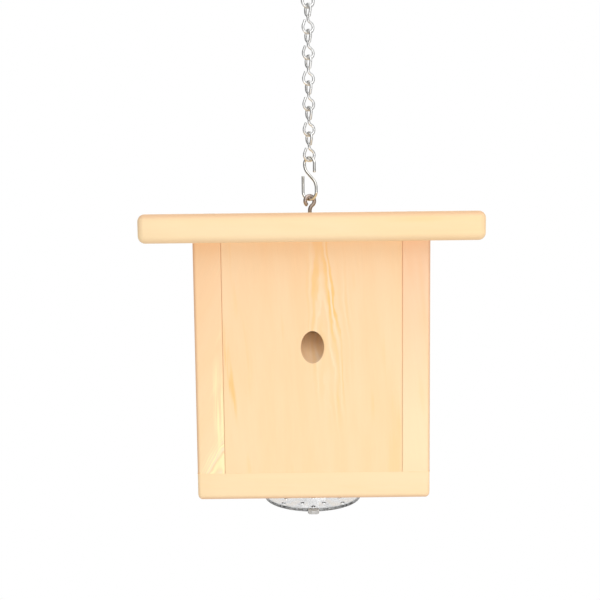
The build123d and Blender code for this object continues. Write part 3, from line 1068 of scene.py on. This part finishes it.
# Painted shade on rounded edges.
edge_darkening = maths(marks, "MULTIPLY", marks_in["Edge"], EDGE_SHADE_SHARE)
colour = mix(marks, resin, marks_in["Color"], marks_in["Streak tone"])
colour = mix(marks, under_roof_shade, colour, ROOF_SHADE_TINT, "MULTIPLY")
feed(marks, marks_out, {"Color": mix(marks, edge_darkening, colour, EDGE_SHADE_TONE)})
print("marks group:", len(marks.nodes), "nodes")


# %% [markdown]
# Each board gets its own stretch of tree, as boards from one pile do. A Mapping node of the texture
# kind moves the pattern to the pith's place and turns it so that its Z axis runs along the grain:
# upright in the walls, from left to right in the roof and the base. One material for all six would be
# shorter, but then a tree would seem to run through the whole box.

# %% A board's material
SPRING = srgb(255, 232, 193)
BODY = srgb(254, 217, 166)
SUMMER = srgb(252, 207, 128)
CURL_FROM, CURL_FULL = 22 * MM, 6 * MM
FAR = 1.0
front_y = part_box("front_panel")[0].y


def grown(tree, place, pith, lay, squeeze=1.0, ring=4.0 * MM, figure=0.0, plain=0.06, sway=6 * MM,
          flame=(100 * MM, FAR, 300 * MM), body=BODY, summer=SUMMER):
    """Outputs of a pine group whose pith runs through a point, turned by lay (degrees about X, Y and Z).

    squeeze below 1 narrows the arches. flame is the half size of the patch in which they show, and FAR
    sets no limit along an axis.
    """
    return placed(tree, pine, {
        "Vector": seen_from(tree, place, pith, lay, (squeeze, 1, 1)),
        "Bore shade": node(tree, "Attribute", attribute_name="bore").outputs["Fac"],
        "Ring": ring,
        "Figure": figure,
        "Plain": plain,
        "Sway": sway,
        "Flame size": flame,
        "Spring wood": SPRING,
        "Body wood": body,
        "Summer wood": summer,
    })


def pine_material(name, roof_shade=0.0, streak=None, curl=None, **stretch):
    """Planed pine: one stretch of tree, with a share of painted shade, pinker towards the roof, at the top
    end.

    streak is a lens of resin: its middle, its lean in degrees, its half size and its colour. curl is a
    second stretch of tree that takes over near the front edge, as grain does beside a knot.
    """
    material, tree, shader = new_material(f"pine_{name}")
    place = node(tree, "TexCoord").outputs["Object"]
    wood = grown(tree, place, **stretch)
    colour = wood["Color"]
    if curl:
        depth = node(tree, "SeparateXYZ", {0: place}).outputs["Y"]
        near_edge = between(tree, depth, front_y + CURL_FROM, front_y + CURL_FULL)
        colour = mix(tree, near_edge, colour, grown(tree, place, **curl)["Color"])
    edge = node(tree, "Attribute", attribute_name="edge").outputs["Fac"]
    over = {"Color": colour, "Vector": place, "Edge": edge, "Roof shade": roof_shade}
    if streak:
        middle, lean, half_size, tone = streak
        over["Streak lens"] = seen_from(tree, place, middle, (0, lean, 0), half_size)
        over["Streak tone"] = tone
        over["Streak"] = 1.0
    colour = placed(tree, marks, over)["Color"]
    dress(tree, shader, colour, wood["Roughness"], wood["Height"], strength=0.2, depth=0.1 * MM)
    return material


print("the front face lies at y =", round(front_y / MM, 1), "mm, and grain may curl up to",
      round(CURL_FROM / MM, 1), "mm behind it")


# %% [markdown]
# The boards differ in where the pith runs and how wide the rings are, and lighter copies of the body
# colour, painted light, go on the right side, the roof and the base. Random numbers could choose all
# this, but on the real box the figure has its places. The front panel and the sides are sawn close to
# the pith, so arches show most on their broad faces. Near the left board's front edge the grain curls,
# and a second stretch of tree takes over there.

# %% Six pine boards
# Painted light: lighter copies of the body colour for the right side, the roof and the base, where more light
# falls.
RIGHT_LIT_BODY = srgb(255, 227, 180)
ROOF_LIT_BODY = srgb(254, 221, 171)
BASE_LIT_BODY = srgb(255, 223, 175)
RESIN = srgb(250, 204, 128)
CURL = srgb(255, 244, 189)

BROAD = dict(squeeze=0.5, figure=0.9, sway=15 * MM, flame=(80 * MM, FAR, 130 * MM))
# Each wall sets its own share of painted shade under the roof.
PINE = {
    "front_panel": dict(
        pith=(11.3 * MM, front_y + 20.2 * MM, roof_low.z - 58.9 * MM), lay=(-9.0, -3.0, 0), squeeze=0.46,
        ring=8.0 * MM, figure=1.3, plain=0.02, sway=18 * MM, flame=(34 * MM, FAR, 70 * MM), roof_shade=0.3,
        streak=((-56.3 * MM, front_y, roof_low.z - 91 * MM), -7.0, (3.2 * MM, 20 * MM, 46 * MM), RESIN),
    ),
    "back_panel": dict(
        pith=(-16 * MM, back_high.y - 22 * MM, roof_low.z - 71.9 * MM), lay=(5.0, 2.0, 0), squeeze=0.6,
        figure=0.4, flame=(60 * MM, FAR, 200 * MM),
    ),
    "left_side": dict(
        pith=(-wall_x + 21 * MM, 9 * MM, roof_low.z - 101.9 * MM), lay=(-8.0, -2.0, -90), ring=7.0 * MM,
        roof_shade=0.5, **BROAD,
        curl=dict(
            pith=(-wall_x + 17 * MM, front_y - 12 * MM, roof_low.z - 156.9 * MM), lay=(8.0, 24.0, 0),
            squeeze=0.6, ring=2.2 * MM, figure=2.5, flame=(24 * MM, 60 * MM, 50 * MM), summer=CURL,
        ),
        streak=((-64.0 * MM, front_y, roof_low.z - 116 * MM), -2.0, (5.5 * MM, 30 * MM, 46 * MM), CURL),
    ),
    "right_side": dict(
        pith=(wall_x - 23 * MM, -7 * MM, roof_low.z - 76.9 * MM), lay=(-7.0, 2.0, 90), ring=9.0 * MM,
        roof_shade=1.0, body=RIGHT_LIT_BODY, **BROAD,
    ),
    "roof_board": dict(
        pith=(0, 18 * MM, roof_low.z - 30 * MM), lay=(0, 88.2, 1.5), figure=0.7, plain=0.1,
        flame=(70 * MM, 100 * MM, 300 * MM), body=ROOF_LIT_BODY,
    ),
    "base_board": dict(
        pith=(0, -12 * MM, box_low.z + 44 * MM), lay=(0, 91.2, -1.0), body=BASE_LIT_BODY,
    ),
}
for name, board in boards.items():
    board.data.materials.append(pine_material(name, **PINE[name]))
print("pine on", len(boards), "boards")


# %% [markdown]
# ## Metal
# The chain is bright zinc, the lower hook's zinc is greyer and smoother, and the eye has gone brown.
# Bare metal is all reflection, and one even grey would look like paint. So a group mottles the colour
# and the roughness a little, as plating does, and lays fine scratches in the height.

# %% The plating group and the metals
SPANGLE_ROUGH, PATCH_ROUGH, SCRATCH_RISE = 0.14, 0.08, 0.5

plating, plating_in, plating_out = new_group(
    "plating", {"Vector": "Vector", "Roughness": "Float", "Bright": "Color", "Dull": "Color"}, SURFACE,
)
spangle = noise(plating, plating_in["Vector"], scale=600.0, detail=3.0)
patches = between(plating, noise(plating, plating_in["Vector"], scale=140.0), 0.4, 0.7)
scratch = noise(plating, stretched(plating, plating_in["Vector"], (1, 1, 0.2)), scale=2600.0)
rough = maths(plating, "MULTIPLY_ADD", spangle, SPANGLE_ROUGH, plating_in["Roughness"])
feed(plating, plating_out, {
    "Color": mix(plating, patches, plating_in["Bright"], plating_in["Dull"]),
    "Roughness": maths(plating, "MULTIPLY_ADD", patches, PATCH_ROUGH, rough),
    "Height": maths(plating, "MULTIPLY_ADD", scratch, SCRATCH_RISE, spangle),
})


def metal(name, bright, dull, roughness):
    """Plated wire or a fastener: full metal, with mottled colour and roughness."""
    material, tree, shader = new_material(name)
    shader.inputs["Metallic"].default_value = 1.0
    place = node(tree, "TexCoord").outputs["Object"]
    inputs = {"Vector": place, "Roughness": roughness, "Bright": bright, "Dull": dull}
    plate = placed(tree, plating, inputs)
    dress(tree, shader, plate["Color"], plate["Roughness"], plate["Height"], strength=0.15, depth=0.05 * MM)
    return material


METALS = {
    "bright_zinc": (srgb(236, 236, 235), srgb(216, 216, 215), 0.3, [*links, hanger]),
    "dull_zinc": (srgb(234, 232, 227), srgb(206, 203, 196), 0.08, [lower_hook]),
    "brown_plate": (srgb(186, 171, 163), srgb(154, 140, 128), 0.3, [screw_eye]),
    "nail_steel": (srgb(196, 194, 190), srgb(168, 165, 160), 0.22, groups),
}
for name, (bright, dull, roughness, pieces) in METALS.items():
    plated = metal(name, bright, dull, roughness)
    for piece in pieces:
        piece.data.materials.append(plated)
    print(name, "on", len(pieces), "pieces")


# %% [markdown]
# ## Plastics
# The dish is clear moulded plastic. Plain transparency would hide its shape, so it takes a refractive
# shader with a plain index and a faint flow waviness in its normal, and its rim and holes draw dark
# and light lines as real ones do. Grey is painted on its foot's thick rim as painted shade, for the
# dark line that refraction draws there. The thumb lug has a material of its own, with a frost of its
# own: it lets only half the light through, and the pale white it shows for the rest is a painted
# highlight. One group gives both their flow.

# %% The clear dish
# The grey is painted shade on the foot's thick rim.
CLEAR, RIM_PAINTED_SHADE = srgb(249, 249, 249), srgb(160, 161, 161)
RIM_INSIDE = (foot_radius - 2.4 * MM, foot_radius - 1.6 * MM)
RIM_OUTSIDE = (foot_radius + 0.5 * MM, foot_radius + 0.3 * MM)
RIM_TOP = (dish_low.z + 3.4 * MM, dish_low.z + 2.2 * MM)
LUG_FROM, LUG_TOP = foot_radius + 0.3 * MM, dish_low.z + LUG_THICK + 0.2 * MM
HAZE = 0.02
PLASTIC_INDEX = 1.5

moulding, moulding_in, moulding_out = new_group("moulding", {"Vector": "Vector", "Frost": "Float"}, SURFACE)
from_axis = vector_length(moulding, stretched(moulding, moulding_in["Vector"], ACROSS))
height = node(moulding, "SeparateXYZ", {0: moulding_in["Vector"]}).outputs["Z"]
# Painted shade: a grey band round the foot's thick rim.
rim_shade = between(moulding, from_axis, *RIM_INSIDE)
for value, limits in ((height, RIM_TOP), (from_axis, RIM_OUTSIDE)):
    rim_shade = maths(moulding, "MULTIPLY", rim_shade, between(moulding, value, *limits))
haze = noise(moulding, moulding_in["Vector"], scale=700.0, detail=3.0)
feed(moulding, moulding_out, {
    "Color": mix(moulding, rim_shade, CLEAR, RIM_PAINTED_SHADE),
    "Roughness": maths(moulding, "MULTIPLY_ADD", haze, HAZE, moulding_in["Frost"]),
    "Height": noise(moulding, moulding_in["Vector"], scale=90.0),
})


def moulded_clear(name, through, frost):
    """Clear plastic that lets a plain share of the light through, with its own frost."""
    material, tree, shader = new_material(name)
    shader.inputs["Transmission Weight"].default_value = through
    shader.inputs["IOR"].default_value = PLASTIC_INDEX
    place = node(tree, "TexCoord").outputs["Object"]
    flow = placed(tree, moulding, {"Vector": place, "Frost": frost})
    dress(tree, shader, flow["Color"], flow["Roughness"], flow["Height"], strength=0.2, depth=0.3 * MM)
    return material


dish.data.materials.clear()
dish.data.materials.append(moulded_clear("clear_plastic", through=1.0, frost=0.0))
# Painted highlight: the lug lets only half the light through and shows pale white for the rest.
dish.data.materials.append(moulded_clear("lug_painted_highlight", through=0.5, frost=0.15))
centres = np.empty(3 * len(finished.polygons), dtype=np.float32)
finished.polygons.foreach_get("center", centres)
x, y, z = centres.reshape(-1, 3).T
on_lug = (np.hypot(x, y) > LUG_FROM) & (z < LUG_TOP)
finished.polygons.foreach_set("material_index", on_lug.astype(np.int32))
print("clear plastic on the dish, frosted on", on_lug.sum(), "faces of its lug")


# %% [markdown]
# The collar is natural plastic, matt and pale. A plain grey would do from afar. Close by, moulded
# plastic has a fine grain and a tone that drifts, so one noise gives the grain and another the drift.

# %% The pale collar
COLLAR_PALE, COLLAR_DUSKY = srgb(226, 226, 222), srgb(216, 216, 210)
COLLAR_MATT, COLLAR_GRAIN = 0.35, 0.15

pale, tree, shader = new_material("collar_plastic")
place = node(tree, "TexCoord").outputs["Object"]
fine_grain = noise(tree, place, scale=1800.0)
tone = between(tree, noise(tree, place, scale=60.0), 0.3, 0.7)
colour = mix(tree, tone, COLLAR_PALE, COLLAR_DUSKY)
roughness = maths(tree, "MULTIPLY_ADD", fine_grain, COLLAR_GRAIN, COLLAR_MATT)
dress(tree, shader, colour, roughness, fine_grain, strength=0.2, depth=0.05 * MM)
collar.data.materials.append(pale)
print("pale plastic on the collar")


# %% [markdown]
# ## Stage and light
# The trap hangs in front of plain white. The world is pure white to the camera, while the light that it
# gives the object stays at a plain level. Metal and clear plastic live by contrast. A picture of a
# studio could give it, but here the room is worked out: for their rays it is white behind and in front
# and darker at the sides.

# %% World
WHITE = (1, 1, 1, 1)
WORLD_LIGHT = 0.68
SIDE_FROM, SIDE_FULL = 0.3, 0.75
DARK_LEFT, DARK_RIGHT = 0.85, 0.7
DARK_IN_GLASS = 0.3

world = bpy.data.worlds.new("studio")
bpy.context.scene.world = world
world.use_nodes = True
room = world.node_tree
room.nodes.clear()
rays = node(room, "LightPath").outputs
way = node(room, "SeparateXYZ", {0: node(room, "TexCoord").outputs["Generated"]}).outputs
sides = maths(room, "MULTIPLY_ADD", between(room, way["X"], -SIDE_FROM, -SIDE_FULL), -DARK_LEFT, 1.0)
sides = maths(room, "MULTIPLY_ADD", between(room, way["X"], SIDE_FROM, SIDE_FULL), -DARK_RIGHT, sides)
in_metal = maths(room, "SUBTRACT", sides, WORLD_LIGHT)
level = maths(room, "MULTIPLY_ADD", rays["Is Glossy Ray"], in_metal, WORLD_LIGHT)
in_glass = maths(room, "MULTIPLY_ADD", sides, DARK_IN_GLASS, 1 - DARK_IN_GLASS)
in_glass = maths(room, "SUBTRACT", in_glass, level)
level = maths(room, "MULTIPLY_ADD", rays["Is Transmission Ray"], in_glass, level)
level = maths(room, "MAXIMUM", level, rays["Is Camera Ray"])
sky = node(room, "Background", {"Color": WHITE, "Strength": level})
node(room, "OutputWorld", {"Surface": sky.outputs[0]})
print("world light:", WORLD_LIGHT, "from", len(room.nodes), "nodes")


# %% [markdown]
# The floor is a sheet of pale paper, well below the trap, which throws light back up. It could be left
# out, since nothing stands on it, but the undersides would then be lit by the world alone. To the
# camera, and through the dish, it glows pure white, so that no horizon shows.

# %% Floor
FLOOR_DROP = 1.3
FLOOR_SIZE = 12.0
PAPER, PAPER_ROUGH = srgb(235, 235, 235), 0.9

edge = FLOOR_SIZE / 2
floor_corners = [(x, y, -FLOOR_DROP) for x, y in ((-edge, -edge), (edge, -edge), (edge, edge), (-edge, edge))]
floor_mesh = bpy.data.meshes.new("floor")
floor_mesh.from_pydata(floor_corners, [], [(0, 1, 2, 3)])
floor = bpy.data.objects.new("floor", floor_mesh)
bpy.context.scene.collection.objects.link(floor)
paper, tree, shader = new_material("white_paper")
feed(tree, shader, {"Base Color": PAPER, "Roughness": PAPER_ROUGH})
rays = node(tree, "LightPath").outputs
seen = maths(tree, "MAXIMUM", rays["Is Camera Ray"], rays["Is Transmission Ray"])
glow = node(tree, "Emission", {"Color": WHITE, "Strength": 1.0})
shown = node(tree, "MixShader", {0: seen, 1: shader.outputs[0], 2: glow.outputs[0]})
feed(tree, tree.nodes["Material Output"], {"Surface": shown.outputs[0]})
floor_mesh.materials.append(paper)
print("floor at", -FLOOR_DROP, "m")


# %% [markdown]
# A studio's soft boxes are area lights here. A sun lamp would be simpler, but its shadows are hard, and
# its spark on round wire is a point. Each soft box is placed by how far it stands off from the middle
# of the whole part, and turned to face it: a broad one high in front, to the right, and a weaker one
# low in front.

# %% Soft boxes
KEY = dict(stand_off=(0.55, -0.9, 1.0), size=1.5, power=8.2)
FILL = dict(stand_off=(0.3, -1.45, -0.45), size=0.9, power=5.4)


def softbox(name, aim, stand_off, size, power):
    """A square area light that stands off from a point and is turned to face it."""
    light = bpy.data.lights.new(name, "AREA")
    light.shape = "SQUARE"
    light.size = size
    light.energy = power
    lamp = bpy.data.objects.new(name, light)
    lamp.location = aim + Vector(stand_off)
    lamp.rotation_mode = "QUATERNION"
    lamp.rotation_quaternion = (-Vector(stand_off)).to_track_quat("-Z", "Y")
    bpy.context.scene.collection.objects.link(lamp)
    return lamp


middle = (Vector(cad_box[0]) + Vector(cad_box[1])) / 2
lamps = [softbox("key_softbox", middle, **KEY), softbox("fill_softbox", middle, **FILL)]
bpy.context.scene.view_settings.view_transform = "Standard"
print("lights:", {lamp.name: round(lamp.data.energy, 1) for lamp in lamps})


# %% [markdown]
# ## Sizes
# A look that grew past its solids would no longer fit where the part fits. The box of the solids could
# be compared by eye. Here the scene is only brought up to date.

# %% Sizes
bpy.context.view_layer.update()
